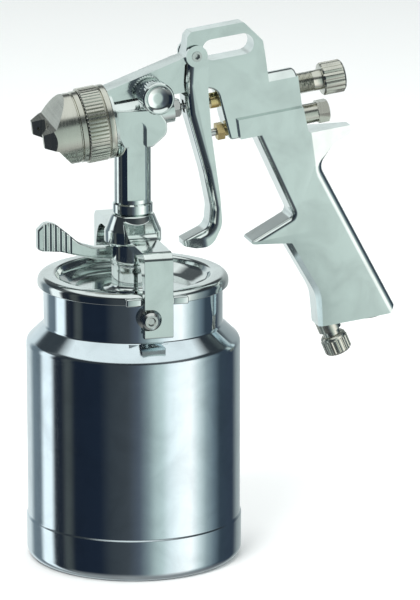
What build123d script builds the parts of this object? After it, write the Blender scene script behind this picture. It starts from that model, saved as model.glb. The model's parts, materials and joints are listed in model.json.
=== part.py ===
from build123d import *
import os
from math import cos, pi, radians, sin, sqrt, tan

# Siphon-feed spray gun on a metal cup, in millimetres.
# +Z is up, the origin is the centre of the cup's base, and the nozzle points along -X.
# The gun itself is drawn in its own frame: U runs backwards along the needle, V is up,
# and the needle is at U, V = 0 where it crosses the cup's axis.

# ---- overall places ----
gun_tilt = 8.0
running_gap = 0.05
part_gap = 0.3
far = 400.0

# ---- cup ----
cup_radius = 52.0
cup_band_proud = 0.6
cup_band_height = 20.3
cup_base_round = 4.5
cup_wall = 1.1
cup_floor = 1.6
cup_neck_radius = 43.5
cup_neck_length = 20.3
cup_shoulder_rise = 8.0
cup_rim_height = 136.7

# ---- lid and gasket ----
lid_overhang = 2.8
lid_skirt_lap = 1.3
lid_rise = 4.2
lid_dish_depth = 7.6
lid_wall = 1.9
lid_boss_radius = 10.4
lid_boss_rise = 5.4
gasket_thickness = 1.4
lug_width = 8.0
lug_reach = 2.4
lug_root = 1.2
lug_drop = 3.2
lug_height = 4.0
lug_round = 0.8
vent_offset = 24.0
vent_radius = 0.8

# ---- stem, locknut and siphon tube ----
stem_radius = 7.6
stem_bore = 4.75
stem_below_lid = 7.4
locknut_flats = 22.0
locknut_height = 5.0
tube_radius = 4.7
tube_wall = 0.8
tube_floor_gap = 6.0
tube_above_boss = 3.7

# ---- cam lever ----
lever_hub_radius = 11.0
lever_hub_length = 9.0
lever_reach = 47.5
lever_half_thickness = 2.6
lever_flutes = 6
lever_flute_start = 3.4
lever_flute_pitch = 2.5
lever_flute_out = 0.7
lever_flute_radius = 1.15
cam_collar_radius = 9.4
cam_slope = 7.87
cam_rise = 4.3
cam_rest_angle = 100.0
cam_turn = 55.0

# ---- yoke ----
yoke_above_lever = 1.3
yoke_hub_height = 13.7
yoke_hub_radius = 13.8
yoke_hub_top_radius = 10.6
yoke_bore_gap = 0.35
yoke_half_width = 7.0
yoke_arm_thickness = 4.5
yoke_arm_gap = 0.6
yoke_bridge_rise = 0.7
yoke_bridge_thickness = 4.3
yoke_arm_below_stud = 8.9
yoke_bend = 5.0
yoke_arch = 13.0
stud_offset = 3.9
stud_below_rim = 7.6
stud_radius = 4.2
stud_foot_radius = 5.4
stud_proud = 1.2
yoke_slot_radius = 5.0
yoke_slot_rise = 0.5

# ---- coupling nut and fluid leg ----
coupling_radius = 9.7
coupling_height = 5.3
leg_radius = 8.9
leg_length = 41.6
leg_flat_width = 8.8
leg_flat_below_needle = 0.6
leg_flat_above_foot = 1.8
head_half = 11.3
head_above_needle = 4.9
head_below_needle = 13.3
head_front = -10.2
head_back = 14.5
fluid_bore = 3.2
packing_hub_radius = 6.5
packing_hub_end = 19.8

# ---- gun body ----
body_half = 6.7
hook_half = 4.6
hook_step = 18.4
hook_top = 36.0
web_half = 5.2
grip_half = 9.3
grip_round = 4.4
grip_front_round = 2.4
grip_front_bevel = 3.4
horn_taper = 14.0
edge_round = 1.0
arm_underside = 7.7
body_back = 82.3
boss_radius = 8.5
body_bottom = -19.5
grip_top = -10.0
grip_bottom = -120.6
grip_lean = 20.5
facet_top = -71.3
facet_back = 80.5
facet_angle = 4.5
slot_height = 10.0
slot_middle = 25.8
slot_front = 37.4
slot_back = 63.0
thread_radius = 16.5
thread_front = -21.5
thread_back = -11.7
barrel_radius = 11.0
barrel_back = 2.5
body_lip_radius = 15.0

# ---- air cap, ring, nozzle ----
cap_radius = 17.0
cap_lip_radius = 17.2
cap_neck_radius = 15.0
cap_front = -47.0
cap_face = -41.5
cap_roll = 4.5
cap_wall = 1.8
ring_radius = 18.2
ring_front = -25.6
ring_back = -12.0
ring_knurl_back = -15.8
ring_ribs = 60
nozzle_tip = -42.6
nozzle_bore = 0.9
needle_radius = 1.25
needle_rear_radius = 1.6

# ---- trigger ----
pivot_u = 33.6
pivot_v = 24.6
pivot_radius = 2.5
trigger_top_radius = 5.3
trigger_wall = 1.9
trigger_web = 2.3
trigger_front_round = 4.2
trigger_inner_round = 2.3
trigger_swing = 12.0

# ---- fan knob ----
fan_u = 9.3
fan_v = 10.8
fan_radius = 7.75
fan_length = 10.8
fan_boss_radius = 6.4
fan_boss_face = 11.0
fan_ribs = 36

# ---- needle knob ----
knob_front = 94.8
knob_length = 11.4
knob_radius = 8.0
knob_flutes = 12
shank_radius = 5.15
shank_thread_end = 90.3
shank_pitch = 1.0
spring_chamber = 3.95

# ---- air valve ----
valve_v = -15.6
valve_chamber = 6.0
valve_chamber_front = 62.0
valve_stem_radius = 1.8
valve_stem_front = 30.2
packing_nut_flats = 7.6
packing_nut_front = 39.8
plug_radius = 4.8
plug_end = 90.7
plug_flats = 10.2
plug_hex_end = 96.4
plug_front = 78.8
plug_bore = 3.8
plug_bore_end = 88.2

# ---- air control and inlet ----
control_u = 82.0
control_stem_depth = 7.0
control_lean = 15.0
control_collar_radius = 5.8
control_collar_end = 4.4
control_neck_radius = 4.3
control_knob_start = 7.2
control_knob_end = 16.8
control_knob_radius = 6.75
control_flutes = 16
control_stem_radius = 2.4
inlet_u = 103.4
inlet_radius = 6.9
inlet_bore = 5.75
inlet_depth = 11.0
inlet_proud = 1.2

# ---- the stack of heights, from the cup's rim up to the needle ----
cup_band_radius = cup_radius + cup_band_proud
cup_neck_height = cup_rim_height - cup_neck_length
cup_shoulder_height = cup_neck_height - cup_shoulder_rise
lid_skirt_height = cup_rim_height - lid_skirt_lap
lid_top_height = cup_rim_height + lid_rise
lid_floor_top = lid_top_height - lid_dish_depth
lid_floor_height = lid_floor_top - lid_wall
lid_boss_height = lid_top_height + lid_boss_rise
lever_hub_top = lid_boss_height + lever_hub_length
cam_mean_height = lever_hub_top + cam_rise
yoke_bottom = lever_hub_top + yoke_above_lever
yoke_top = yoke_bottom + yoke_hub_height
yoke_bridge_bottom = yoke_bottom + yoke_bridge_rise
yoke_bridge_top = yoke_bridge_bottom + yoke_bridge_thickness
stud_height = cup_rim_height - stud_below_rim
yoke_arm_bottom = stud_height - yoke_arm_below_stud
coupling_bottom = yoke_top + part_gap
coupling_top = coupling_bottom + coupling_height
leg_foot = coupling_top + part_gap
needle_height = leg_foot + leg_length
leg_flat_top = needle_height - leg_flat_below_needle
leg_flat_foot = leg_foot + leg_flat_above_foot
head_top = needle_height + head_above_needle
head_foot = needle_height - head_below_needle

# ---- other places worked out from the sizes above ----
GUN = Pos(0, 0, needle_height) * Rot(0, -gun_tilt, 0)
body_front_plane = thread_back
boss_shoulder = sqrt(boss_radius**2 - body_half**2)
cam_bump = cam_collar_radius * tan(radians(cam_slope))
cam_rest_lift = 2 * cam_bump * sin(radians(cam_rest_angle / 2))
cam_free_lift = 2 * cam_bump * sin(radians((cam_rest_angle - cam_turn) / 2))
yoke_lift = cam_rest_lift - cam_free_lift
lid_radius = cup_neck_radius + lid_overhang
arm_inner = lid_radius + yoke_arm_gap
arm_outer = arm_inner + yoke_arm_thickness
trigger_inner = body_half + part_gap
trigger_half = trigger_inner + trigger_wall
needle_travel = pivot_v * radians(trigger_swing)
valve_travel = (pivot_v - valve_v) * radians(trigger_swing)


def turned(outline):
    """Solid of revolution round Z from (radius, height) corners."""
    edges = Polyline(*[(r, 0, z) for r, z in outline], close=True).edges()
    return revolve(make_face(edges), axis=Axis.Z)


def turned_round(outline, radii):
    """Solid of revolution round Z from (radius, height) corners with rounded corners."""
    edges = FilletPolyline(*[(r, 0, z) for r, z in outline], radius=radii, close=True).edges()
    return revolve(make_face(edges), axis=Axis.Z)


def along_needle(shape):
    """Turn a shape drawn up Z so that it runs backwards along U."""
    return Rot(0, 90, 0) * shape


def sideways(shape):
    """Turn a shape drawn up Z so that it runs towards the gun's left side, -Y."""
    return Rot(90, 0, 0) * shape


def ring_of(outer, inner, low, high):
    """Plain tube round Z."""
    return turned([(inner, low), (outer, low), (outer, high), (inner, high)])


def rod(radius, low, high):
    """Plain cylinder round Z between two heights."""
    return Pos(0, 0, low) * Cylinder(radius, high - low, align=(Align.CENTER, Align.CENTER, Align.MIN))


def side_plate(outline, half, radii=0.0):
    """Plate seen from the side, as thick as half each way in Y."""
    if isinstance(radii, (int, float)):
        radii = [radii] * len(outline)
    edges = FilletPolyline(*outline, radius=radii, close=True).edges()
    return extrude(Plane.XZ * make_face(edges), amount=half, both=True)


def end_plate(outline, half, radii):
    """Plate seen along X, from (y, z) corners, as thick as half each way in X."""
    if isinstance(radii, (int, float)):
        radii = [radii] * len(outline)
    edges = FilletPolyline(*outline, radius=radii, close=True).edges()
    return extrude(Plane.YZ * make_face(edges), amount=half, both=True)


def hexagon(flats, low, high):
    """Hexagonal bar round Z with two flats facing Y."""
    bar = extrude(RegularPolygon(flats / 2, 6, major_radius=False, rotation=30), amount=high - low)
    return Pos(0, 0, low) * bar


def ribbed(radius, depth, count, low, high):
    """Disc with fine straight ribs round its edge."""
    step = 2 * pi / count
    corners = []
    for i in range(count):
        for share, cut in ((0.0, 0.0), (0.6, 0.0), (0.8, depth)):
            angle = (i + share) * step
            corners.append(((radius - cut) * cos(angle), (radius - cut) * sin(angle)))
    return Pos(0, 0, low) * extrude(make_face(Polyline(*corners, close=True).edges()), amount=high - low)


def fluted(radius, flute_radius, flute_depth, count, low, high):
    """Disc with round flutes cut along its edge."""
    centre = radius + flute_radius - flute_depth
    disc = Circle(radius) - [place * Circle(flute_radius) for place in PolarLocations(centre, count)]
    return Pos(0, 0, low) * extrude(disc, amount=high - low)


def coil(radius, wire, low, high, turns):
    """Helical spring round Z."""
    pitch = (high - low) / turns
    path = Helix(pitch=pitch, height=high - low, radius=radius)
    start = Plane(origin=path @ 0, z_dir=path % 0)
    return Pos(0, 0, low) * sweep(start * Circle(wire), path=path, is_frenet=True)


def edges_at(shape, half, test):
    """Edges that lie in the two faces at Y = -half and +half and pass a test on their centre."""
    found = ShapeList()
    for edge in shape.edges():
        middle = edge.center()
        box = edge.bounding_box()
        flat = box.size.Y < 0.001 and abs(abs(middle.Y) - half) < 0.001
        if flat and test(middle.X, middle.Z):
            found.append(edge)
    return found


# ---- gun body ----
def main_plate():
    outline = [
        (body_front_plane, arm_underside),
        (body_front_plane, 15.9),
        (28.8, 24.9),
        (31.2, hook_top - 2.0),
        (33.4, hook_top),
        (59.7, hook_top),
        (67.6, 25.6),
        (67.6, boss_shoulder),
        (body_back, boss_shoulder),
        (body_back, grip_top - 4),
        (60.0, body_bottom),
        (44.8, body_bottom),
        (41.6, arm_underside),
    ]
    radii = [0, 0, 1.5, 1.5, 1.2, 2.0, 2.5, 0, 0, 0, 0, 1.6, 5.6]
    return side_plate(outline, body_half, radii)


def grip_plate():
    outline = [
        (49.4, grip_top),
        (body_back, grip_top),
        (83.2, -22.9),
        (105.9, -24.4),
        (107.0, -25.6),
        (106.7, -27.4),
        (105.2, -28.3),
        (96.0, -31.0),
        (87.4, -40.5),
        (115.4, -117.0),
        (112.4, grip_bottom),
        (76.0, grip_bottom),
        (76.8, -104.0),
        (65.2, -75.4),
        (49.9, -73.1),
        (48.6, -72.7),
        (48.0, -71.8),
        (48.6, -70.9),
        (70.8, -62.4),
        (57.8, body_bottom),
        (49.4, body_bottom),
    ]
    radii = [0, 0, 1.6, 0, 0, 0, 0, 9.0, 6.0, 0, 0, 0, 20.0, 0, 0, 0, 0, 0, 3.0, 0, 0]
    grip = side_plate(outline, grip_half, radii)
    rear = edges_at(grip, grip_half, lambda u, v: u > 86 and -118 < v < -28.5)
    grip = fillet(rear, grip_round)
    front = edges_at(grip, grip_half, lambda u, v: u < 80 and -118 < v < -76)
    grip = chamfer(front, grip_front_bevel)
    upper_front = edges_at(grip, grip_half, lambda u, v: u < 71 and -72 < v < -21)
    grip = fillet(upper_front, grip_front_round)
    for side in (-1, 1):
        toward = Align.MIN if side > 0 else Align.MAX
        wedge = Box(60, 10, 30, align=(Align.MIN, toward, Align.CENTER))
        grip -= Pos(84.5, side * grip_half, -26) * Rot(0, 0, -side * horn_taper) * wedge
    return grip


def palm_facets():
    """Shallow slanted cuts that thin the front of the grip under the finger rest."""
    below_rest = Pos(0, 0, facet_top) * Box(400, 100, 200, align=(Align.CENTER, Align.CENTER, Align.MAX))
    cuts = []
    for side in (-1, 1):
        outward = Align.MAX if side < 0 else Align.MIN
        slab = Box(60, 10, 160, align=(Align.MAX, outward, Align.CENTER))
        place = Pos(facet_back, side * grip_half, facet_top) * Rot(0, -grip_lean, 0)
        place = place * Rot(0, 0, side * facet_angle)
        cuts.append((place * slab) & below_rest)
    return cuts[0] + cuts[1]


def hanger_slot():
    half = slot_height / 2
    bar = Box(slot_back - slot_front - slot_height, 30, slot_height)
    middle = (slot_front + slot_back) / 2
    slot = Pos(middle, 0, slot_middle) * bar
    for end in (slot_front + half, slot_back - half):
        slot += Pos(end, 0, slot_middle) * Rot(90, 0, 0) * Cylinder(half, 30)
    return slot


def side_recesses():
    """Cuts that taper the hanger hook towards its top and thin the web of the front arm."""
    web = [(-30.0, 7.9), (30.0, 21.9), (30.0, 0.0), (-30.0, 0.0)]
    cut = side_plate(web, 20, 0.0) - Box(300, 2 * web_half, 300)
    taper = end_plate(
        [
            (body_half, hook_step),
            (body_half + 10, hook_step),
            (body_half + 10, hook_top + 10),
            (hook_half - (body_half - hook_half), 2 * hook_top - hook_step),
        ],
        40,
        0.0,
    )
    taper = Pos(66, 0, 0) * taper
    return cut + taper + mirror(taper, about=Plane.XZ)


def head_solids():
    ring_thread = rod(thread_radius, thread_front, thread_back)
    lip = rod(body_lip_radius, thread_back, head_front)
    barrel = rod(barrel_radius, head_front, barrel_back)
    return along_needle(ring_thread + lip + barrel)


def needle_boss():
    """Round boss round the needle's knob, with a rounded back rim and flat flush sides."""
    outline = [(0, 62.0), (boss_radius, 62.0), (boss_radius, body_back), (0, body_back)]
    boss = along_needle(turned_round(outline, [0, 0, 1.8, 0]))
    return boss & Box(400, 2 * body_half, 100)


def fan_boss():
    boss = rod(fan_boss_radius, -3, fan_boss_face)
    return Pos(fan_u, 0, fan_v) * sideways(boss)


def body_bores():
    nozzle_hole = along_needle(rod(5.85, thread_front - 1, head_back))
    annulus = along_needle(ring_of(13.2, 8.4, thread_front - 1, thread_front + 6))
    needle_hole = along_needle(rod(needle_rear_radius + 0.4, 30, body_back))
    spring_hole = along_needle(rod(shank_radius + running_gap, 60, body_back + 1))
    stem_hole = Pos(0, 0, valve_v) * along_needle(rod(valve_stem_radius + running_gap, 30, body_back))
    packing_hole = Pos(0, 0, valve_v) * along_needle(rod(3.0, 40, 52))
    chamber = Pos(0, 0, valve_v) * along_needle(rod(valve_chamber, valve_chamber_front, body_back + 3))
    guide_hole = along_needle(rod(3.0, 40, 50))
    pin_hole = Pos(pivot_u, 0, pivot_v) * sideways(rod(pivot_radius + running_gap, -30, 30))
    fan_hole = Pos(fan_u, 0, fan_v) * sideways(rod(2.8, 0, 30))
    cuts = nozzle_hole + annulus + needle_hole + spring_hole + stem_hole + packing_hole
    return cuts + chamber + guide_hole + pin_hole + fan_hole


def grip_bores():
    inlet_top = grip_bottom + inlet_depth
    inlet = Pos(inlet_u, 0, grip_bottom - 5) * rod(inlet_radius + running_gap, 0, inlet_depth + 5)
    rise = valve_v - inlet_top
    run = valve_chamber_front + valve_chamber + 4 - inlet_u
    length = sqrt(rise**2 + run**2)
    lean = Vector(run, 0, rise)
    duct_plane = Plane(origin=(inlet_u, 0, inlet_top - 2), z_dir=lean)
    duct = duct_plane.location * rod(4.2, 0, length)
    control = control_place() * rod(control_stem_radius + running_gap, -control_stem_depth - 0.3, 30)
    return inlet + duct + control


def control_place():
    """Where the air control leaves the grip, with its axis pointing down and back."""
    lean = radians(control_lean)
    return Plane(origin=(control_u, 0, grip_bottom), z_dir=(sin(lean), 0, -cos(lean))).location


def gun_body():
    plate = main_plate() - side_recesses()
    front_edges = edges_at(plate, body_half, lambda u, v: 40.5 < u < 46 and v < arm_underside - 0.5)
    plate = fillet(front_edges, edge_round)
    hinge_boss = Pos(pivot_u, 0, pivot_v) * sideways(rod(5.0, -body_half, body_half))
    body = plate + grip_plate() + head_solids() + fan_boss() + hinge_boss + needle_boss()
    body -= hanger_slot()
    body -= body_bores()
    body -= grip_bores()
    body -= palm_facets()
    body -= along_needle(rod(packing_hub_radius, 8, packing_hub_end))
    body = GUN * body
    return body - head_block(0.0) - rod(leg_radius, leg_foot, head_foot + 8)


# ---- fluid leg ----
def head_block(round_over):
    outline = [
        (head_front, head_top),
        (head_back - 4.5, head_top),
        (head_back, head_top - 6.5),
        (head_back, needle_height - 7.3),
        (leg_radius - 1.5, head_foot),
        (-leg_radius + 2.0, head_foot),
        (head_front, needle_height - 6.8),
    ]
    radii = [0.8, 5.0, 5.0, 5.0, 2.0, 2.0, 3.0]
    block = side_plate(outline, head_half, radii)
    if round_over:
        rim = edges_at(block, head_half, lambda x, z: True)
        block = fillet(rim, round_over)
    return block


def leg_flats():
    """The two milled flats with arched tops, one on each side of the leg."""
    half = leg_flat_width / 2
    inner = sqrt(leg_radius**2 - half**2)
    low = leg_flat_foot
    high = leg_flat_top - half
    bar = Pos(0, 0, (low + high) / 2) * Box(leg_flat_width, 60, high - low)
    bar += Pos(0, 0, high) * Rot(90, 0, 0) * Cylinder(half, 60)
    return bar - Box(100, 2 * inner, 600)


def fluid_leg():
    leg = rod(leg_radius, leg_foot, head_foot + 8) + rod(stem_radius, coupling_bottom + 3, leg_foot)
    hub = GUN * along_needle(rod(packing_hub_radius, 8, packing_hub_end))
    body = head_block(0.7) + leg + hub
    body -= leg_flats()
    body -= rod(stem_bore, coupling_bottom, needle_height)
    bore = rod(fluid_bore, head_front - 8, packing_hub_end) + rod(4.2, 14.4, packing_hub_end + 1)
    nose = rod(5.8 + running_gap, head_front - 8, -7.0)
    return body - GUN * along_needle(bore + nose)


# ---- front end ----
def fluid_nozzle():
    outline = [
        (nozzle_bore, nozzle_tip),
        (2.0, nozzle_tip),
        (2.4, nozzle_tip + 2.5),
        (2.4, nozzle_tip + 4.2),
        (6.6, -35.0),
        (7.6, -34.0),
        (7.6, -24.8),
        (5.8, -24.8),
        (5.8, -7.2),
        (3.0, -7.2),
        (3.0, nozzle_tip + 6.0),
        (nozzle_bore, nozzle_tip + 1.2),
    ]
    return GUN * along_needle(turned(outline))


def air_baffle():
    plate = ring_of(12.6, 5.85, -24.5, thread_front)
    holes = [place * Cylinder(1.0, 80) for place in PolarLocations(10.4, 12)]
    return GUN * along_needle(plate - holes)


def air_cap_blank():
    """Turned outside of the cap, before its sides are milled away."""
    return turned(
        [
            (0, cap_front),
            (cap_radius, cap_front),
            (cap_radius, -29.3),
            (16.4, -28.9),
            (16.4, -28.5),
            (cap_lip_radius, -28.2),
            (cap_lip_radius, ring_front - 0.4),
            (cap_neck_radius, ring_front - 0.4),
            (cap_neck_radius, -23.7),
            (14.2, -23.7),
            (14.2, -22.6),
            (cap_neck_radius, -22.6),
            (cap_neck_radius, -22.0),
            (0, -22.0),
        ]
    )


def air_cap():
    side = [
        (-22.0, 19.0),
        (-31.2, 19.0),
        (-40.8, 5.4),
        (cap_front, 3.2),
        (cap_front, -3.2),
        (-40.8, -5.4),
        (-31.2, -19.0),
        (-22.0, -19.0),
    ]
    profile = side_plate(side, 30, 0.0)
    plan = [
        (-22.0, 19.0),
        (-40.0, 17.6),
        (cap_front, 13.6),
        (cap_front, 11.0),
        (cap_face, 5.4),
        (cap_face, -5.4),
        (cap_front, -11.0),
        (cap_front, -13.6),
        (-40.0, -17.6),
        (-22.0, -19.0),
    ]
    plan_plate = extrude(make_face(Polyline(*plan, close=True).edges()), amount=30, both=True)
    cap = along_needle(air_cap_blank()) & profile & plan_plate
    hollow = turned([(0, -20), (13.2, -20), (13.2, -32.4), (4.6, -38.8), (0, -38.8)])
    cap -= along_needle(hollow)
    cap -= along_needle(rod(2.75, cap_front, -30))
    for side_sign in (-1, 1):
        hole = Pos(cap_face - 3.1, side_sign * 8.5, 0) * Rot(0, 0, side_sign * 45) * Rot(0, 90, 0)
        cap -= hole * Cylinder(0.75, 5)
    for place in PolarLocations(4.1, 4, start_angle=45):
        cap -= along_needle(Pos(0, 0, -40) * place * Cylinder(0.45, 6))
    return GUN * Rot(cap_roll, 0, 0) * cap


def cap_snap_ring():
    ring = ring_of(16.2, 14.3, -23.6, -22.7)
    gap = Pos(0, 15, -23) * Box(3, 6, 4)
    return GUN * Rot(cap_roll, 0, 0) * along_needle(ring - gap)


def cap_ring():
    front = ribbed(ring_radius, 0.5, ring_ribs, ring_front, ring_knurl_back)
    waist = rod(ring_radius - 1.0, ring_knurl_back, ring_knurl_back + 0.5)
    flange = turned(
        [
            (0, ring_knurl_back + 0.5),
            (ring_radius - 0.6, ring_knurl_back + 0.5),
            (ring_radius - 0.2, ring_knurl_back + 0.9),
            (ring_radius - 0.2, ring_back - 0.5),
            (ring_radius - 0.7, ring_back),
            (0, ring_back),
        ]
    )
    inside = turned(
        [
            (0, ring_front - 1),
            (cap_neck_radius + part_gap, ring_front - 1),
            (cap_neck_radius + part_gap, -24.0),
            (thread_radius + running_gap, -24.0),
            (thread_radius + running_gap, ring_back + 1),
            (0, ring_back + 1),
        ]
    )
    return GUN * along_needle(front + waist + flange - inside)


# ---- needle ----
def needle():
    outline = [
        (0, nozzle_tip - 0.2),
        (0.5, nozzle_tip - 0.2),
        (needle_radius, nozzle_tip + 3.2),
        (needle_radius, 22.0),
        (needle_rear_radius, 22.4),
        (needle_rear_radius, 28.4),
        (3.1, 28.4),
        (3.1, 32.0),
        (needle_rear_radius, 32.0),
        (needle_rear_radius, 62.0),
        (3.4, 62.0),
        (3.4, 64.0),
        (needle_rear_radius, 64.0),
        (needle_rear_radius, 88.0),
        (0, 88.0),
    ]
    return GUN * along_needle(turned(outline))


def needle_packing():
    return GUN * along_needle(ring_of(4.15, needle_radius + running_gap, 14.5, 17.4))


def needle_packing_nut():
    nut = hexagon(8.4, packing_hub_end + 0.1, 23.6) + rod(4.15, 17.5, packing_hub_end + 0.1)
    nut &= turned([(0, 17.5), (4.3, 17.5), (4.8, 19.0), (4.8, 22.6), (3.9, 23.6), (0, 23.6)])
    return GUN * along_needle(nut - rod(needle_radius + running_gap, 10, 21.9) - rod(2.0, 21.9, 30))


def needle_guide():
    guide = rod(3.8, 38.6, 42.6) + rod(2.95, 42.6, 49.6)
    guide = guide - rod(needle_rear_radius + running_gap, 30, 60)
    return GUN * (along_needle(guide) - front_wall())


def front_wall():
    """The body's front wall, with the two holes that the guide and the valve nut screw into."""
    holes = along_needle(rod(3.0, 30, 60)) + Pos(0, 0, valve_v) * along_needle(rod(3.0, 30, 60))
    return main_plate() - holes


def needle_spring():
    return GUN * along_needle(coil(2.9, 0.4, 64.6, 95.6, 13))


def needle_knob():
    pitches = int((shank_thread_end - 72) / shank_pitch)
    outline = [(0, 72.0)]
    for i in range(pitches):
        start = 72.0 + i * shank_pitch
        outline.append((shank_radius - 0.45, start))
        outline.append((shank_radius, start + shank_pitch / 2))
    outline += [
        (shank_radius - 0.45, shank_thread_end),
        (shank_radius - 0.15, shank_thread_end + 0.2),
        (shank_radius - 0.15, knob_front),
        (0, knob_front),
    ]
    shank = turned(outline)
    grip = fluted(knob_radius, 1.15, 0.5, knob_flutes, knob_front, knob_front + knob_length)
    shape = turned(
        [
            (0, knob_front),
            (knob_radius - 0.5, knob_front),
            (knob_radius, knob_front + 0.5),
            (knob_radius, knob_front + knob_length - 1.2),
            (knob_radius - 1.2, knob_front + knob_length),
            (0, knob_front + knob_length),
        ]
    )
    hollow = rod(spring_chamber, 70, 96.2)
    return GUN * along_needle(shank + (grip & shape) - hollow)


# ---- trigger ----
def trigger_tip_plan():
    """Outline of the trigger from above, which narrows the curled tip and rounds its corners."""
    corners = [
        (14.8, 5.4),
        (25.0, trigger_half),
        (60.0, trigger_half),
        (60.0, -trigger_half),
        (25.0, -trigger_half),
        (14.8, -5.4),
    ]
    edges = FilletPolyline(*corners, radius=[3.0, 8.0, 0, 0, 8.0, 3.0], close=True).edges()
    return extrude(make_face(edges), amount=100, both=True)


def trigger():
    outline = [
        (28.7, 25.5),
        (25.9, 12.0),
        (25.5, -3.0),
        (29.6, -33.0),
        (30.6, -51.0),
        (28.4, -60.4),
        (15.2, -64.6),
        (15.2, -67.3),
        (20.5, -69.0),
        (28.2, -69.0),
        (34.6, -59.5),
        (35.4, -46.0),
        (35.4, -14.0),
        (36.7, 6.5),
        (38.9, 22.0),
    ]
    radii = [0, 20.0, 20.0, 30.0, 14.0, 6.0, 0, 0, 5.0, 8.0, 12.0, 20.0, 20.0, 20.0, 0]
    blade = side_plate(outline, trigger_half, radii)
    front = edges_at(blade, trigger_half, lambda u, v: u < 30 and -62 < v < 22)
    blade = fillet(front, trigger_front_round)
    blade += Pos(pivot_u, 0, pivot_v) * sideways(rod(trigger_top_radius, -trigger_half, trigger_half))
    inner = [
        (25.9 + trigger_web, 12.0),
        (25.5 + trigger_web, -3.0),
        (29.6 + trigger_web, -33.0),
        (30.6 + trigger_web, -51.0),
        (30.4 + trigger_web, -58.0),
        (50.0, -56.0),
        (50.0, 12.0),
    ]
    channel = side_plate(inner, trigger_inner, [0, 18.0, 28.0, 12.0, 0, 0, 0])
    channel = fillet(edges_at(channel, trigger_inner, lambda u, v: u < 33 and v < 10), trigger_inner_round)
    blade -= channel
    fork = [(10.0, 6.0), (50.0, 6.0), (50.0, 40.0), (10.0, 40.0)]
    blade -= side_plate(fork, trigger_inner, 0.0)
    blade -= Pos(pivot_u, 0, pivot_v) * sideways(rod(pivot_radius + running_gap, -30, 30))
    needle_slot = Pos(26, 0, 0) * Box(12, 2 * (needle_rear_radius + 0.4), 6.4)
    return GUN * ((blade - needle_slot) & trigger_tip_plan())


def trigger_pin():
    pin = rod(pivot_radius, -trigger_half - 2.6, trigger_half + 0.3)
    socket = hexagon(2.6, trigger_half - 1.9, trigger_half + 2)
    return GUN * Pos(pivot_u, 0, pivot_v) * sideways(pin - socket)


def trigger_pin_nut():
    nut = turned(
        [
            (pivot_radius, -trigger_half - 2.4),
            (3.6, -trigger_half - 2.4),
            (4.1, -trigger_half - 1.9),
            (4.1, -trigger_half - part_gap),
            (pivot_radius, -trigger_half - part_gap),
        ]
    )
    return GUN * Pos(pivot_u, 0, pivot_v) * sideways(nut)


# ---- fan control ----
def fan_knob():
    start = fan_boss_face + part_gap
    end = start + fan_length
    side = ribbed(fan_radius, 0.45, fan_ribs, start, end)
    shape = turned(
        [
            (0, start),
            (fan_radius - 0.8, start),
            (fan_radius, start + 0.8),
            (fan_radius, end - 0.5),
            (fan_radius - 0.5, end),
            (fan_radius - 0.9, end),
            (5.4, end - 1.3),
            (2.8, end - 2.0),
            (0, end - 2.2),
        ]
    )
    return GUN * Pos(fan_u, 0, fan_v) * sideways((side & shape) - rod(2.0, 0, start + 6))


def fan_stem():
    start = fan_boss_face + part_gap
    stem = turned([(0, 0.6), (0.6, 0.4), (1.9, 3.4), (1.9, start + 6), (0, start + 6)])
    return GUN * Pos(fan_u, 0, fan_v) * sideways(stem)


def fan_bush():
    bush = ring_of(2.75, 1.9 + running_gap, 4.5, fan_boss_face - 0.1)
    return GUN * Pos(fan_u, 0, fan_v) * sideways(bush)


# ---- air valve ----
def on_valve(shape):
    return GUN * Pos(0, 0, valve_v) * along_needle(shape)


def valve_stem():
    stem = rod(valve_stem_radius, valve_stem_front, 67.0) + rod(4.2, 67.0, 69.2) + rod(2.0, 69.2, 74.0)
    return on_valve(stem)


def valve_packing_nut():
    nut = hexagon(packing_nut_flats, packing_nut_front, 43.4) + rod(2.95, 43.4, 51.8)
    nut -= rod(valve_stem_radius + running_gap, 30, 60)
    local = Pos(0, 0, valve_v) * along_needle(nut)
    return GUN * (local - front_wall())


def valve_seat():
    return on_valve(ring_of(valve_chamber - running_gap, 3.0, valve_chamber_front + 0.1, 66.7))


def valve_spring():
    return on_valve(coil(3.1, 0.4, 69.7, plug_bore_end - 0.5, 9))


def valve_plug():
    plug = rod(valve_chamber - running_gap, plug_front, 81.5) + rod(plug_radius, 81.5, plug_end)
    plug += hexagon(plug_flats, plug_end, plug_hex_end)
    chamfered = [
        (0, plug_front),
        (7, plug_front),
        (7, plug_hex_end - 1.2),
        (4.9, plug_hex_end),
        (0, plug_hex_end),
    ]
    plug &= turned(chamfered)
    return on_valve(plug - rod(plug_bore, plug_front - 1, plug_bore_end))


# ---- air control and inlet ----
def control_collar():
    """Collar round the control's stem, trimmed flush under the grip."""
    collar = ring_of(control_collar_radius, control_stem_radius + running_gap, -3, control_collar_end)
    below = Box(200, 60, 100, align=(Align.CENTER, Align.CENTER, Align.MAX))
    under_grip = Pos(control_u, 0, grip_bottom) * below
    return GUN * ((control_place() * collar) & under_grip)


def control_stem():
    stem = rod(control_stem_radius, -control_stem_depth, control_knob_start + 5)
    return GUN * (control_place() * stem)


def control_knob():
    start = control_knob_start
    grip = fluted(control_knob_radius, 0.75, 0.5, control_flutes, start + 2.0, control_knob_end)
    cap = turned(
        [
            (0, start),
            (control_knob_radius - 1.3, start),
            (control_knob_radius - 0.5, start + 0.8),
            (control_knob_radius - 0.5, start + 2.0),
            (0, start + 2.0),
        ]
    )
    shape = turned(
        [
            (0, start + 1.9),
            (control_knob_radius - 0.4, start + 1.9),
            (control_knob_radius, start + 2.4),
            (control_knob_radius, control_knob_end - 0.8),
            (control_knob_radius - 0.8, control_knob_end),
            (0, control_knob_end),
        ]
    )
    neck = rod(control_neck_radius, control_collar_end + part_gap, start)
    knob = (grip & shape) + cap + neck
    return GUN * (control_place() * (knob - rod(control_stem_radius, 0, start + 5)))


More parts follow.
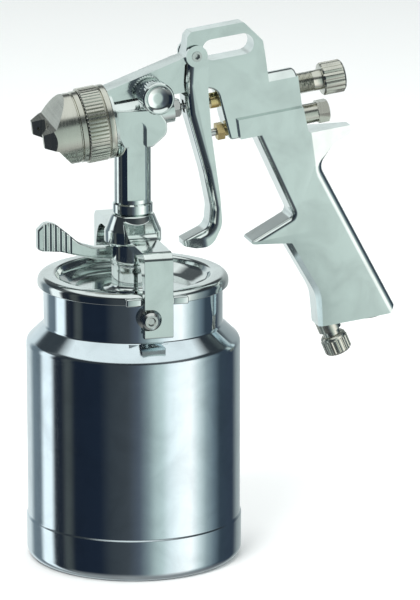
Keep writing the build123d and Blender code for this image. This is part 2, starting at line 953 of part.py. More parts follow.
def air_inlet():
    low = grip_bottom - inlet_proud
    high = grip_bottom + inlet_depth
    bush = turned(
        [
            (inlet_bore, low),
            (inlet_radius - 0.4, low),
            (inlet_radius, low + 0.4),
            (inlet_radius, high - 0.1),
            (inlet_bore, high - 0.1),
        ]
    )
    return GUN * Pos(inlet_u, 0, 0) * bush


# ---- coupling, stem, lid ----
def coupling_nut():
    outline = [
        (stem_radius + running_gap, coupling_bottom),
        (coupling_radius - 0.7, coupling_bottom),
        (coupling_radius, coupling_bottom + 0.7),
        (coupling_radius, coupling_top - 0.6),
        (coupling_radius - 0.6, coupling_top),
        (stem_radius + running_gap, coupling_top),
    ]
    return turned(outline)


def fluid_stem():
    return ring_of(stem_radius, stem_bore, lid_floor_height - stem_below_lid, coupling_bottom + 2.8)


def stem_locknut():
    top = lid_floor_height - 0.1
    return hexagon(locknut_flats, top - locknut_height, top) - rod(stem_radius, 0, far)


def siphon_tube():
    low = cup_floor + tube_floor_gap
    return ring_of(tube_radius, tube_radius - tube_wall, low, lid_boss_height + tube_above_boss)


def lid():
    floor_top = lid_floor_top
    floor = lid_floor_height
    edge = lid_radius
    outline = [
        (stem_radius, lid_boss_height),
        (lid_boss_radius - 0.3, lid_boss_height),
        (lid_boss_radius, lid_boss_height - 0.3),
        (lid_boss_radius, floor_top + 4.0),
        (lid_boss_radius + 1.0, floor_top + 1.2),
        (lid_boss_radius + 3.4, floor_top),
        (edge - 18.5, floor_top + 0.6),
        (edge - 12.5, floor_top + 2.8),
        (edge - 9.6, lid_top_height - 1.6),
        (edge - 7.8, lid_top_height - 0.4),
        (edge - 5.2, lid_top_height),
        (edge - 2.2, lid_top_height - 0.3),
        (edge - 0.6, lid_top_height - 1.3),
        (edge, lid_top_height - 2.8),
        (edge, lid_skirt_height),
        (edge - 1.9, lid_skirt_height),
        (edge - 1.9, lid_top_height - 2.2),
        (edge - 7.4, lid_top_height - 2.4),
        (edge - 11.0, floor_top + 1.0),
        (edge - 18.0, floor),
        (stem_radius, floor),
    ]
    radii = [0, 0, 0, 3.0, 0, 3.0, 8.0, 4.0, 2.0, 3.0, 8.0, 3.0, 1.5, 1.5, 0, 0, 0.5, 0.5, 2.0, 4.0, 0]
    cover = turned_round(outline, radii)
    for side in (-1, 1):
        for step in (-1, 1):
            middle = side * step * (yoke_half_width + part_gap + lug_width / 2)
            place = Pos(middle, side * (edge + lug_reach / 2 - lug_root / 2), lid_top_height - lug_drop)
            lug = place * Box(lug_width, lug_reach + lug_root, lug_height)
            cover += fillet(lug.edges().filter_by(Axis.Z), lug_round)
    vent = Pos(-vent_offset, 0, floor) * Cylinder(vent_radius, 10)
    return cover - vent


def lid_gasket():
    top = lid_top_height - 2.45
    return ring_of(lid_radius - 2.2, lid_radius - 7.0, top - gasket_thickness, top)


# ---- cup ----
def cup():
    wall = cup_wall
    outline = [
        (0, 0),
        (cup_band_radius, 0),
        (cup_band_radius, cup_band_height),
        (cup_radius, cup_band_height + 0.9),
        (cup_radius, cup_shoulder_height),
        (cup_neck_radius, cup_neck_height),
        (cup_neck_radius, cup_rim_height),
        (cup_neck_radius - wall, cup_rim_height),
        (cup_neck_radius - wall, cup_neck_height - 0.5),
        (cup_radius - wall, cup_shoulder_height - 0.5),
        (cup_radius - wall, cup_floor),
        (0, cup_floor),
    ]
    radii = [0, cup_base_round, 0.5, 0.8, 4.5, 2.0, 0.4, 0.4, 1.5, 3.5, cup_base_round - wall, 0]
    return turned_round(outline, radii)


def cup_studs():
    end = arm_outer + stud_proud
    studs = []
    for side in (-1, 1):
        shape = turned(
            [
                (0, cup_neck_radius - 4),
                (stud_foot_radius, cup_neck_radius - 4),
                (stud_foot_radius, cup_neck_radius + 2.0),
                (stud_radius, cup_neck_radius + 2.6),
                (stud_radius, end - 0.9),
                (stud_radius - 1.1, end),
                (2.1, end),
                (1.5, end - 1.0),
                (0, end - 1.0),
            ]
        )
        turn = Rot(90, 0, 0) if side < 0 else Rot(-90, 0, 0)
        stud = Pos(side * stud_offset, 0, stud_height) * turn * shape
        studs.append(stud - rod(cup_neck_radius, 0, far))
    return Compound(children=studs)


# ---- cam lever and yoke ----
def slanted_cut(mean_height, angle):
    """Everything above a plane that tilts by the cam slope towards a heading."""
    place = Pos(0, 0, mean_height) * Rot(0, 0, angle) * Rot(cam_slope, 0, 0)
    return place * Box(80, 80, 40, align=(Align.CENTER, Align.CENTER, Align.MIN))


def cam_lever():
    hub = rod(lever_hub_radius, lid_boss_height + part_gap, lever_hub_top)
    hub += rod(cam_collar_radius, lever_hub_top - 1, cam_mean_height + 6)
    hub -= slanted_cut(cam_mean_height, -cam_rest_angle)
    reach = lever_reach
    top = lever_hub_top
    outline = [
        (-8.5, top - 0.7),
        (-20.0, top - 0.5),
        (-27.0, top + 1.9),
        (-33.0, top + 7.3),
        (-38.5, top + 11.9),
        (-43.4, top + 13.3),
        (-reach, top + 9.3),
        (-reach, top - 0.1),
        (-reach + 2.4, top - 1.1),
        (-36.0, top - 1.9),
        (-29.0, top - 3.9),
        (-21.0, top - 6.1),
        (-8.5, top - 7.1),
    ]
    radii = [0, 8.0, 10.0, 14.0, 8.0, 4.0, 1.2, 1.2, 1.0, 10.0, 10.0, 12.0, 0]
    blade = side_plate(outline, lever_half_thickness, radii)
    rim = edges_at(blade, lever_half_thickness, lambda x, z: True)
    blade = fillet(rim, 0.9)
    for i in range(lever_flutes):
        for side in (-1, 1):
            along = lever_flute_start - reach + i * lever_flute_pitch
            spot = Pos(along, side * (lever_half_thickness + lever_flute_out), top)
            blade -= spot * Cylinder(lever_flute_radius, 40)
    return hub + blade - rod(stem_radius + running_gap, 0, far)


def yoke_arm():
    """Half of the bridge, its bend and one arm, seen along X, on the +Y side."""
    outline = [
        (9.5, yoke_bridge_top + 6.6),
        (12.0, yoke_bridge_top + 5.0),
        (20.0, yoke_bridge_top),
        (arm_outer, yoke_bridge_top),
        (arm_outer, yoke_arm_bottom),
        (arm_inner, yoke_arm_bottom),
        (arm_inner, yoke_bridge_bottom),
        (9.5, yoke_bridge_bottom),
    ]
    radii = [0, 4.0, 14.0, yoke_bend, 1.2, 0.8, yoke_arch, 0]
    arm = end_plate(outline, yoke_half_width, radii)
    slot_middle_height = stud_height + yoke_slot_rise
    channel = Box(20, 20, 2 * yoke_slot_radius, align=(Align.MIN, Align.CENTER, Align.CENTER))
    slot = Pos(stud_offset, arm_outer, slot_middle_height) * channel
    slot += Pos(stud_offset, arm_outer, slot_middle_height) * Rot(90, 0, 0) * Cylinder(yoke_slot_radius, 20)
    return arm - slot


def yoke():
    hub = turned(
        [
            (0, yoke_bottom),
            (yoke_hub_radius - 0.5, yoke_bottom),
            (yoke_hub_radius, yoke_bottom + 0.5),
            (yoke_hub_radius, yoke_bottom + 5.6),
            (yoke_hub_radius - 0.8, yoke_bottom + 7.2),
            (yoke_hub_top_radius, yoke_top - 0.6),
            (yoke_hub_top_radius - 0.6, yoke_top),
            (0, yoke_top),
        ]
    )
    arm = yoke_arm()
    body = hub + arm + Rot(0, 0, 180) * arm
    pocket = rod(cam_collar_radius + part_gap, yoke_bottom - 1, cam_mean_height + 12)
    pocket -= slanted_cut(cam_mean_height + cam_rest_lift + part_gap, 0)
    return body - pocket - rod(stem_radius + yoke_bore_gap, 0, far)


PARTS = {
    "gun_body": gun_body,
    "fluid_leg": fluid_leg,
    "fluid_nozzle": fluid_nozzle,
    "air_baffle": air_baffle,
    "air_cap": air_cap,
    "cap_snap_ring": cap_snap_ring,
    "cap_ring": cap_ring,
    "needle": needle,
    "needle_packing": needle_packing,
    "needle_packing_nut": needle_packing_nut,
    "needle_guide": needle_guide,
    "needle_spring": needle_spring,
    "needle_knob": needle_knob,
    "trigger": trigger,
    "trigger_pin": trigger_pin,
    "trigger_pin_nut": trigger_pin_nut,
    "fan_knob": fan_knob,
    "fan_stem": fan_stem,
    "fan_bush": fan_bush,
    "valve_stem": valve_stem,
    "valve_packing_nut": valve_packing_nut,
    "valve_seat": valve_seat,
    "valve_spring": valve_spring,
    "valve_plug": valve_plug,
    "control_collar": control_collar,
    "control_stem": control_stem,
    "control_knob": control_knob,
    "air_inlet": air_inlet,
    "coupling_nut": coupling_nut,
    "fluid_stem": fluid_stem,
    "stem_locknut": stem_locknut,
    "siphon_tube": siphon_tube,
    "lid": lid,
    "lid_gasket": lid_gasket,
    "cup": cup,
    "cup_studs": cup_studs,
    "cam_lever": cam_lever,
    "yoke": yoke,
}

os.makedirs("parts", exist_ok=True)
for name, make in PARTS.items():
    shape = make()
    shape.label = name
    export_step(shape, f"parts/{name}.step")
print("yoke lift", round(yoke_lift, 3))
print("needle travel", round(needle_travel, 3))
print("valve travel", round(valve_travel, 3))
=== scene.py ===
import json
import math

import bmesh
import bpy
from bpy.props import FloatProperty, FloatVectorProperty, IntProperty, PointerProperty
from mathutils import Matrix, Vector


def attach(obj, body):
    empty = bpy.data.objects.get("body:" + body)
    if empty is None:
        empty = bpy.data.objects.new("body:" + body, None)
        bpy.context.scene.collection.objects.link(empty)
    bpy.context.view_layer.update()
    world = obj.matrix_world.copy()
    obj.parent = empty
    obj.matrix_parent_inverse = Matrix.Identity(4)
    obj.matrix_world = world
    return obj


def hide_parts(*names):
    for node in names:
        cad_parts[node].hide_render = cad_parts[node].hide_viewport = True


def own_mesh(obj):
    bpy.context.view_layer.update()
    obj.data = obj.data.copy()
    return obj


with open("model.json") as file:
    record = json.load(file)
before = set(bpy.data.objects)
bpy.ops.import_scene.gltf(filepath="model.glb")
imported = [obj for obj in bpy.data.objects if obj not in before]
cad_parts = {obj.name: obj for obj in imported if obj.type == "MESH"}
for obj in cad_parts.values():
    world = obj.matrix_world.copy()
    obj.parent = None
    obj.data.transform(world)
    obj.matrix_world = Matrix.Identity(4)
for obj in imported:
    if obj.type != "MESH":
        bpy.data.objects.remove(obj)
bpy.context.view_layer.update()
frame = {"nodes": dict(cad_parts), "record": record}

bl_info = {
    "name": "Siphon spray gun",
    "version": (1, 0, 0),
    "blender": (4, 5, 0),
    "location": "View3D > Sidebar > Spray gun",
    "description": "Finished pieces, metals and studio for a siphon-feed spray gun",
    "category": "Object",
}

MM = 0.001
NODES = frame["nodes"]
NEEDLE_HEIGHT = 217.8 * MM
GUN_TILT = math.radians(8.0)
# The gun's own frame: X runs backwards along the needle, Z is up.
GUN = Matrix.Translation((0, 0, NEEDLE_HEIGHT)) @ Matrix.Rotation(-GUN_TILT, 4, "Y")
# Turned pieces are drawn up Z, then laid along the needle.
ALONG_NEEDLE = GUN @ Matrix.Rotation(math.radians(90), 4, "Y")
SLOT_OF = {part["node"]: part["material_slot"] for part in frame["record"]["subparts"]}
BEHAVIOUR = frame["record"]["behaviour"]
BODY_OF = {node: body for body, nodes in BEHAVIOUR["bodies"].items() for node in nodes}
# Edges that turn by more than these angles, in degrees, stay sharp or are softened.
TURNED_SHARP = 32
CAD_SHARP = 28
CAD_SOFTEN = 32


# ---------------------------------------------------------------- settings


class CupSettings(bpy.types.PropertyGroup):
    radius: FloatProperty(name="Radius", description="Outside of the cup", default=52.0 * MM, unit="LENGTH")
    band_radius: FloatProperty(
        name="Band radius", description="Thicker band at the foot", default=52.6 * MM, unit="LENGTH"
    )
    band_height: FloatProperty(
        name="Band height", description="Top of the band", default=20.3 * MM, unit="LENGTH"
    )
    shoulder: FloatProperty(
        name="Shoulder", description="Height where the side ends", default=108.4 * MM, unit="LENGTH"
    )
    neck_radius: FloatProperty(
        name="Neck radius", description="Outside of the neck", default=43.5 * MM, unit="LENGTH"
    )
    neck_height: FloatProperty(
        name="Neck foot", description="Foot of the neck", default=116.4 * MM, unit="LENGTH"
    )
    rim: FloatProperty(name="Rim", description="Height of the open rim", default=136.7 * MM, unit="LENGTH")
    wall: FloatProperty(name="Wall", description="Thickness of the wall", default=1.1 * MM, unit="LENGTH")


class LidSettings(bpy.types.PropertyGroup):
    radius: FloatProperty(name="Radius", description="Outside of the rim", default=46.3 * MM, unit="LENGTH")
    skirt: FloatProperty(name="Skirt", description="Foot of the skirt", default=135.4 * MM, unit="LENGTH")
    top: FloatProperty(name="Top", description="Top of the rim", default=140.9 * MM, unit="LENGTH")
    dish: FloatProperty(name="Dish", description="Depth of the dish", default=7.6 * MM, unit="LENGTH")
    boss_radius: FloatProperty(
        name="Boss radius", description="Boss round the stem", default=10.4 * MM, unit="LENGTH"
    )
    boss_top: FloatProperty(name="Boss top", description="Top of the boss", default=146.3 * MM, unit="LENGTH")
    lug_width: FloatProperty(
        name="Lug width", description="Width of each lug", default=8.0 * MM, unit="LENGTH"
    )


class KnobSettings(bpy.types.PropertyGroup):
    ring_ribs: IntProperty(name="Ring ribs", description="Ribs round the retaining ring", default=60, min=12)
    ring_depth: FloatProperty(
        name="Ring rib depth", description="Depth of a rib", default=0.55 * MM, unit="LENGTH"
    )
    fan_ribs: IntProperty(name="Fan knob ribs", description="Ribs round the fan knob", default=36, min=8)
    needle_flutes: IntProperty(
        name="Needle knob flutes", description="Flutes round the knob", default=12, min=6
    )
    flute_depth: FloatProperty(
        name="Flute depth", description="Depth of a flute", default=0.6 * MM, unit="LENGTH"
    )
    air_flutes: IntProperty(
        name="Air knob flutes", description="Flutes round the air knob", default=16, min=6
    )
    pitch: FloatProperty(
        name="Thread pitch", description="Pitch of the thread", default=1.0 * MM, unit="LENGTH"
    )


class EdgeSettings(bpy.types.PropertyGroup):
    casting: FloatProperty(
        name="Casting edge", description="Rounding of cast edges", default=0.45 * MM, unit="LENGTH"
    )
    turned: FloatProperty(
        name="Turned edge", description="Rounding of turned edges", default=0.2 * MM, unit="LENGTH"
    )


class FinishSettings(bpy.types.PropertyGroup):
    plating: FloatVectorProperty(
        name="Plating", description="Colour of the bright plate", default=(0.80, 0.86, 0.84), subtype="COLOR"
    )
    nickel: FloatVectorProperty(
        name="Nickel", description="Colour of the satin nickel", default=(0.66, 0.655, 0.585), subtype="COLOR"
    )
    cup: FloatVectorProperty(
        name="Cup", description="Colour of the spun aluminium", default=(0.74, 0.83, 0.88), subtype="COLOR"
    )
    brass: FloatVectorProperty(
        name="Brass", description="Colour of the brass", default=(0.78, 0.62, 0.30), subtype="COLOR"
    )


class StageSettings(bpy.types.PropertyGroup):
    floor_size: FloatProperty(name="Floor", description="Half width of the floor", default=4.0, unit="LENGTH")
    floor: FloatVectorProperty(
        name="Floor colour", description="Colour of the floor", default=(0.93, 0.935, 0.93), subtype="COLOR"
    )
    azimuth: FloatProperty(
        name="Azimuth", description="Turn of the camera", default=math.radians(-15), subtype="ANGLE"
    )
    elevation: FloatProperty(
        name="Elevation", description="Height of the camera", default=math.radians(14.2), subtype="ANGLE"
    )


# ---------------------------------------------------------------- shader groups


def new_group(name, inputs, outputs):
    """Shader node group with named sockets; returns the group, its input node and its output node."""
    group = bpy.data.node_groups.new(name, "ShaderNodeTree")
    for label, default in inputs:
        socket = group.interface.new_socket(name=label, in_out="INPUT", socket_type="NodeSocketFloat")
        socket.default_value = default
    for label in outputs:
        group.interface.new_socket(name=label, in_out="OUTPUT", socket_type="NodeSocketFloat")
    return group, group.nodes.new("NodeGroupInput"), group.nodes.new("NodeGroupOutput")


def math_node(tree, operation, first, second=0.5, clamp=False):
    node = tree.nodes.new("ShaderNodeMath")
    node.operation = operation
    node.use_clamp = clamp
    for socket, value in zip(node.inputs, (first, second)):
        if isinstance(value, (int, float)):
            socket.default_value = value
        else:
            tree.links.new(value, socket)
    return node.outputs[0]


def spread(tree, value, low, high, new_low, new_high):
    """Maps a value from one range to another, clamped."""
    node = tree.nodes.new("ShaderNodeMapRange")
    tree.links.new(value, node.inputs["Value"])
    for label, number in zip(("From Min", "From Max", "To Min", "To Max"), (low, high, new_low, new_high)):
        if isinstance(number, (int, float)):
            node.inputs[label].default_value = number
        else:
            tree.links.new(number, node.inputs[label])
    return node.outputs["Result"]


def object_noise(tree, scale, detail, stretch=(1, 1, 1), turn=(0, 0, 0), distortion=0.0):
    """Noise on object coordinates, stretched along the axes."""
    place = tree.nodes.new("ShaderNodeTexCoord")
    mapping = tree.nodes.new("ShaderNodeMapping")
    mapping.inputs["Scale"].default_value = stretch
    mapping.inputs["Rotation"].default_value = turn
    tree.links.new(place.outputs["Object"], mapping.inputs["Vector"])
    noise = tree.nodes.new("ShaderNodeTexNoise")
    noise.inputs["Detail"].default_value = detail
    noise.inputs["Distortion"].default_value = distortion
    if isinstance(scale, (int, float)):
        noise.inputs["Scale"].default_value = scale
    else:
        tree.links.new(scale, noise.inputs["Scale"])
    tree.links.new(mapping.outputs["Vector"], noise.inputs["Vector"])
    return noise.outputs["Fac"]


def build_handling_group():
    """Smudges, fine scratches and small dents from handling, as values for roughness, tone and bump."""
    group, given, out = new_group(
        "Handling marks",
        [("Smudge", 0.08), ("Scratch", 0.04), ("Ripple", 0.3)],
        ["Roughness", "Tone", "Height"],
    )
    smudge = spread(group, object_noise(group, 60.0, 4.0, distortion=0.6), 0.42, 0.72, 0.0, 1.0)
    along = object_noise(group, 900.0, 2.0, (1, 1, 0.06), (0.4, 0.9, 0.2))
    across = object_noise(group, 800.0, 2.0, (0.05, 1, 1), (0.3, 0.2, 1.1))
    hairs = spread(group, along, 0.6, 0.72, 0.0, 1.0)
    cross = spread(group, across, 0.62, 0.74, 0.0, 1.0)
    scratch = math_node(group, "MAXIMUM", hairs, cross)
    ripple = object_noise(group, 90.0, 2.0)
    pits = spread(group, object_noise(group, 1500.0, 1.0), 0.70, 0.78, 0.0, -0.3)
    rough = math_node(group, "ADD", math_node(group, "MULTIPLY", smudge, given.outputs["Smudge"]),
                      math_node(group, "MULTIPLY", scratch, given.outputs["Scratch"]))
    tone = math_node(group, "SUBTRACT", 1.0, math_node(group, "MULTIPLY", smudge, 0.10))
    height = math_node(group, "ADD", math_node(group, "MULTIPLY", ripple, given.outputs["Ripple"]),
                       math_node(group, "ADD", math_node(group, "MULTIPLY", scratch, -0.05), pits))
    group.links.new(rough, out.inputs["Roughness"])
    group.links.new(tone, out.inputs["Tone"])
    group.links.new(height, out.inputs["Height"])
    return group


def build_lathe_group():
    """Fine lines left by turning, round the object's Z axis."""
    group, given, out = new_group("Lathe lines", [("Strength", 1.0)], ["Roughness", "Height"])
    fine = object_noise(group, 2600.0, 2.0, (0.0008, 0.0008, 1.0))
    broad = object_noise(group, 500.0, 2.0, (0.002, 0.002, 1.0))
    fine_share = math_node(group, "MULTIPLY", fine, 0.7)
    both = math_node(group, "ADD", fine_share, math_node(group, "MULTIPLY", broad, 0.3))
    group.links.new(math_node(group, "MULTIPLY", both, given.outputs["Strength"]), out.inputs["Height"])
    group.links.new(spread(group, both, 0.35, 0.65, -0.03, 0.04), out.inputs["Roughness"])
    return group


def build_needle_lathe_group():
    """Fine lines left by turning, round the needle's axis."""
    group, given, out = new_group("Needle lathe lines", [("Strength", 1.0)], ["Roughness", "Height"])
    fine = object_noise(group, 2400.0, 3.0, (1.0, 0.01, 0.01), (0, GUN_TILT, 0))
    group.links.new(math_node(group, "MULTIPLY", fine, given.outputs["Strength"]), out.inputs["Height"])
    group.links.new(spread(group, fine, 0.35, 0.65, -0.04, 0.06), out.inputs["Roughness"])
    return group


# ---------------------------------------------------------------- materials


# The material that each slot of the record gets.
MATERIAL_NAMES = {
    "plated_casting": "Plated casting",
    "polished_bar": "Polished bar",
    "satin_nickel": "Satin nickel",
    "needle_steel": "Needle steel",
    "spring_steel": "Spring steel",
    "screw_steel": "Screw steel",
    "bare_brass": "Bare brass",
    "brushed_cup": "Spun aluminium",
    "polished_lid": "Polished lid",
    "plastic_seal": "Seal plastic",
}


def start_material(name, colour, roughness, metallic=1.0):
    material = bpy.data.materials.new(name)
    material.use_nodes = True
    tree = material.node_tree
    shader = tree.nodes["Principled BSDF"]
    shader.inputs["Base Color"].default_value = (*colour, 1.0)
    shader.inputs["Roughness"].default_value = roughness
    shader.inputs["Metallic"].default_value = metallic
    return material, tree, shader


def add_group(tree, group, **values):
    node = tree.nodes.new("ShaderNodeGroup")
    node.node_tree = group
    for label, value in values.items():
        node.inputs[label].default_value = value
    return node


def shade_colour(tree, shader, colour, tone, low):
    """Base colour darkened where the tone value falls from 1 towards low."""
    mix = tree.nodes.new("ShaderNodeMix")
    mix.data_type = "RGBA"
    mix.inputs["A"].default_value = (*(c * 0.72 for c in colour), 1.0)
    mix.inputs["B"].default_value = (*colour, 1.0)
    tree.links.new(spread(tree, tone, low, 1.0, 0.0, 1.0), mix.inputs["Factor"])
    tree.links.new(mix.outputs["Result"], shader.inputs["Base Color"])


def set_bump(tree, shader, height, distance):
    bump = tree.nodes.new("ShaderNodeBump")
    bump.inputs["Distance"].default_value = distance
    bump.inputs["Strength"].default_value = 1.0
    tree.links.new(height, bump.inputs["Height"])
    tree.links.new(bump.outputs["Normal"], shader.inputs["Normal"])


def bright_plate(groups, slot, colour, roughness, ripple, smudge):
    """Polished plate over a casting: slow ripples, faint smudges and hair scratches."""
    _, tree, shader = start_material(MATERIAL_NAMES[slot], colour, roughness)
    marks = add_group(tree, groups["handling"], Smudge=smudge, Scratch=0.06, Ripple=ripple)
    tree.links.new(
        math_node(tree, "ADD", marks.outputs["Roughness"], roughness, clamp=True), shader.inputs["Roughness"]
    )
    shade_colour(tree, shader, colour, marks.outputs["Tone"], 0.8)
    set_bump(tree, shader, marks.outputs["Height"], 0.03 * MM)


def turned_metal(groups, slot, colour, roughness, strength=0.5, smudge=0.08):
    """Turned metal with tool lines under the handling marks."""
    _, tree, shader = start_material(MATERIAL_NAMES[slot], colour, roughness)
    marks = add_group(tree, groups["handling"], Smudge=smudge, Scratch=0.05, Ripple=0.1)
    lathe = add_group(tree, groups["needle"], Strength=strength)
    total = math_node(tree, "ADD", marks.outputs["Roughness"], lathe.outputs["Roughness"])
    tree.links.new(math_node(tree, "ADD", total, roughness, clamp=True), shader.inputs["Roughness"])
    shade_colour(tree, shader, colour, marks.outputs["Tone"], 0.8)
    height = math_node(tree, "ADD", marks.outputs["Height"], lathe.outputs["Height"])
    set_bump(tree, shader, height, 0.012 * MM)


def spun_aluminium(groups, slot, colour):
    """Cup metal: brushed on the side and foot, polished on the neck."""
    _, tree, shader = start_material(MATERIAL_NAMES[slot], colour, 0.3)
    marks = add_group(tree, groups["handling"], Smudge=0.02, Scratch=0.05, Ripple=0.02)
    lathe = add_group(tree, groups["lathe"], Strength=1.0)
    place = tree.nodes.new("ShaderNodeTexCoord")
    split = tree.nodes.new("ShaderNodeSeparateXYZ")
    tree.links.new(place.outputs["Object"], split.inputs["Vector"])
    settings = bpy.context.scene.spraygun_cup
    side = spread(tree, split.outputs["Z"], settings.shoulder, settings.neck_height, 1.0, 0.0)
    base = spread(tree, side, 0.0, 1.0, 0.05, 0.10)
    lines_rough = math_node(tree, "MULTIPLY", lathe.outputs["Roughness"], side)
    total = math_node(tree, "ADD", marks.outputs["Roughness"], lines_rough)
    tree.links.new(math_node(tree, "ADD", total, base, clamp=True), shader.inputs["Roughness"])
    shade_colour(tree, shader, colour, marks.outputs["Tone"], 0.8)
    lines_height = math_node(tree, "MULTIPLY", lathe.outputs["Height"], side)
    set_bump(tree, shader, math_node(tree, "ADD", marks.outputs["Height"], lines_height), 0.004 * MM)


def seal_plastic(groups, slot, colour):
    """Dull white plastic of the seals and the siphon tube."""
    _, tree, shader = start_material(MATERIAL_NAMES[slot], colour, 0.5, metallic=0.0)
    marks = add_group(tree, groups["handling"], Smudge=0.1, Scratch=0.05, Ripple=0.3)
    shade_colour(tree, shader, colour, marks.outputs["Tone"], 0.7)
    set_bump(tree, shader, marks.outputs["Height"], 0.03 * MM)


def build_materials():
    """One finished material for each of the record's slots."""
    finish = bpy.context.scene.spraygun_finish
    groups = {
        "handling": build_handling_group(),
        "lathe": build_lathe_group(),
        "needle": build_needle_lathe_group(),
    }
    plating, nickel = tuple(finish.plating), tuple(finish.nickel)
    bright_plate(groups, "plated_casting", plating, 0.10, ripple=0.10, smudge=0.05)
    bright_plate(groups, "polished_bar", plating, 0.05, ripple=0.12, smudge=0.04)
    turned_metal(groups, "satin_nickel", nickel, 0.19, strength=0.2, smudge=0.05)
    turned_metal(groups, "needle_steel", (0.74, 0.75, 0.74), 0.16)
    turned_metal(groups, "spring_steel", (0.55, 0.55, 0.54), 0.3)
    turned_metal(groups, "screw_steel", (0.70, 0.72, 0.70), 0.18)
    turned_metal(groups, "bare_brass", tuple(finish.brass), 0.24)
    spun_aluminium(groups, "brushed_cup", tuple(finish.cup))
    bright_plate(groups, "polished_lid", (0.76, 0.81, 0.80), 0.06, ripple=0.2, smudge=0.04)
    seal_plastic(groups, "plastic_seal", (0.85, 0.84, 0.78))


def slot_material(slot):
    """The finished material of a record slot."""
    return bpy.data.materials[MATERIAL_NAMES[slot]]


# ---------------------------------------------------------------- mesh tools


def add_piece(name, mesh, node):
    """Links a finished mesh as the piece that stands for a CAD node."""
    piece = bpy.data.objects.new(name, mesh)
    bpy.context.scene.collection.objects.link(piece)
    mesh.materials.clear()
    mesh.materials.append(slot_material(SLOT_OF[node]))
    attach(piece, BODY_OF[node])
    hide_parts(node)
    return piece


def smooth_by_angle(mesh, angle):
    """Shades a mesh smooth except at edges sharper than an angle in degrees."""
    for face in mesh.polygons:
        face.use_smooth = True
    mesh.set_sharp_from_angle(angle=math.radians(angle))


def in_metres(corners):
    """Outline corners (radius, height, rounding) from millimetres to metres."""
    return [(x * MM, y * MM, r * MM) for x, y, r in corners]


def rounded(corners, steps):
    """Points of a closed outline whose corners (x, y, radius) are rounded with arcs."""
    points = []
    count = len(corners)
    for i, (x, y, radius) in enumerate(corners):
        here = Vector((x, y))
        if radius <= 0:
            points.append(here)
            continue
        back = (Vector(corners[i - 1][:2]) - here).normalized()
        ahead = (Vector(corners[(i + 1) % count][:2]) - here).normalized()
        half = back.angle(ahead) / 2
        reach = radius / math.tan(half)
        centre = here + (back + ahead).normalized() * radius / math.sin(half)
        start, end = here + back * reach - centre, here + ahead * reach - centre
        sweep = start.angle_signed(end)
        for k in range(steps + 1):
            turn = Matrix.Rotation(-sweep * k / steps, 2)
            points.append(centre + turn @ start)
    return points


def divided(points, low, high, step):
    """Adds points along the stretch of an outline that runs between two heights."""
    result = []
    for a, b in zip(points, points[1:] + points[:1]):
        result.append(a)
        if min(a.y, b.y) >= low - 1e-7 and max(a.y, b.y) <= high + 1e-7 and abs(a.y - b.y) > step:
            count = int(abs(a.y - b.y) / step)
            result += [a.lerp(b, k / count) for k in range(1, count)]
    return result


def turned(name, outline, segments):
    """Mesh turned round Z from a closed (radius, height) outline."""
    bm = bmesh.new()
    rings = []
    for k in range(segments):
        angle = 2 * math.pi * k / segments
        c, s = math.cos(angle), math.sin(angle)
        rings.append([bm.verts.new((p.x * c, p.x * s, p.y)) for p in outline])
    count = len(outline)
    for k in range(segments):
        a, b = rings[k], rings[(k + 1) % segments]
        for i in range(count):
            j = (i + 1) % count
            bm.faces.new((a[i], b[i], b[j], a[j]))
    bmesh.ops.remove_doubles(bm, verts=bm.verts, dist=1e-7)
    bmesh.ops.dissolve_degenerate(bm, edges=bm.edges, dist=1e-8)
    bmesh.ops.recalc_face_normals(bm, faces=bm.faces)
    mesh = bpy.data.meshes.new(name)
    bm.to_mesh(mesh)
    bm.free()
    smooth_by_angle(mesh, TURNED_SHARP)
    return mesh


def polished_copy(node, bevel):
    """Merged copy of a CAD node's mesh with its flats made whole and its edges softened."""
    mesh = NODES[node].data.copy()
    mesh.name = node + "_finished"
    bm = bmesh.new()
    bm.from_mesh(mesh)
    bmesh.ops.remove_doubles(bm, verts=bm.verts, dist=2e-6)
    bmesh.ops.dissolve_degenerate(bm, edges=bm.edges, dist=1e-6)
    bmesh.ops.dissolve_limit(bm, angle_limit=math.radians(0.6), verts=bm.verts, edges=bm.edges)
    bm.to_mesh(mesh)
    bm.free()
    if mesh.has_custom_normals:
        mesh.attributes.remove(mesh.attributes["custom_normal"])
    smooth_by_angle(mesh, CAD_SHARP)
    holder = bpy.data.objects.new("holder", mesh)
    bpy.context.scene.collection.objects.link(holder)
    if bevel > 0:
        soften = holder.modifiers.new("Soft edge", "BEVEL")
        soften.width = bevel
        soften.segments = 2
        soften.limit_method = "ANGLE"
        soften.angle_limit = math.radians(CAD_SOFTEN)
        soften.use_clamp_overlap = True
    level = holder.modifiers.new("Flat faces", "WEIGHTED_NORMAL")
    level.keep_sharp = True
    level.weight = 100
    return baked_mesh(holder, mesh.name)


def baked_mesh(holder, name):
    """Plain mesh of an object with its modifiers applied; the holder is removed."""
    bpy.context.view_layer.update()
    evaluated = holder.evaluated_get(bpy.context.evaluated_depsgraph_get())
    mesh = bpy.data.meshes.new_from_object(evaluated)
    mesh.name = name
    holder.modifiers.clear()
    bpy.data.objects.remove(holder)
    return mesh


# ---------------------------------------------------------------- geometry node trees


def geometry_tree(name, sockets):
    """Geometry node tree with a mesh input, named number inputs and a mesh output."""
    tree = bpy.data.node_groups.new(name, "GeometryNodeTree")
    tree.interface.new_socket(name="Geometry", in_out="INPUT", socket_type="NodeSocketGeometry")
    for label, kind in sockets:
        tree.interface.new_socket(name=label, in_out="INPUT", socket_type="NodeSocket" + kind)
    tree.interface.new_socket(name="Geometry", in_out="OUTPUT", socket_type="NodeSocketGeometry")
    return tree, tree.nodes.new("NodeGroupInput"), tree.nodes.new("NodeGroupOutput")


